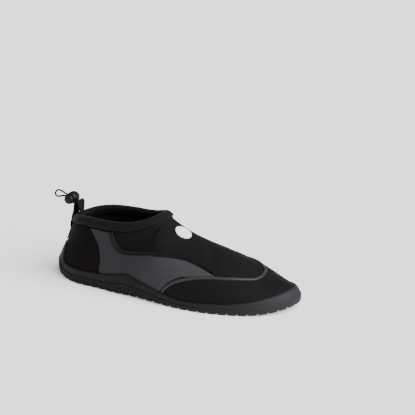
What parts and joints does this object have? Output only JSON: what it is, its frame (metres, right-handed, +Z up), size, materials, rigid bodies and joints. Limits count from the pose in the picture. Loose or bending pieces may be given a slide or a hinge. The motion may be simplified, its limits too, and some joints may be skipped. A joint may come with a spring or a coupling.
{
  "type": "water shoe",
  "caption": "Slip-on water shoe with a stretch upper, raised side trims, toe cap, bound collar, heel pull tab with cord lock, and a ribbed rubber cup sole.",
  "frame": {"origin": "on the floor, on the flat underside of the sole below the middle of the heel", "axes": "+X from heel to toe, +Y towards the inner side of the foot, +Z up"},
  "size_m": [0.273, 0.0968, 0.0846],
  "materials": {
    "rubber": "satin",
    "foam": "matte",
    "stretch": "matte",
    "counter": "matte",
    "grey_panel": "matte",
    "binding": "satin",
    "trim": "satin",
    "rim": "satin",
    "badge": "satin",
    "webbing": "matte",
    "lock": "satin"
  },
  "bodies": {
    "root": {"outsole": "rubber", "insole": "foam", "upper": "stretch", "collar_binding": "binding", "heel_counter": "counter", "side_panel_outer": "grey_panel", "side_panel_inner": "grey_panel", "trim_outer": "trim", "trim_inner": "trim", "toe_cap": "counter", "toe_rim": "rim", "badge": "badge", "pull_tab": "webbing", "drawcord": "webbing", "cord_lock": "lock", "lock_button": "lock"}
  },
  "joints": []
}
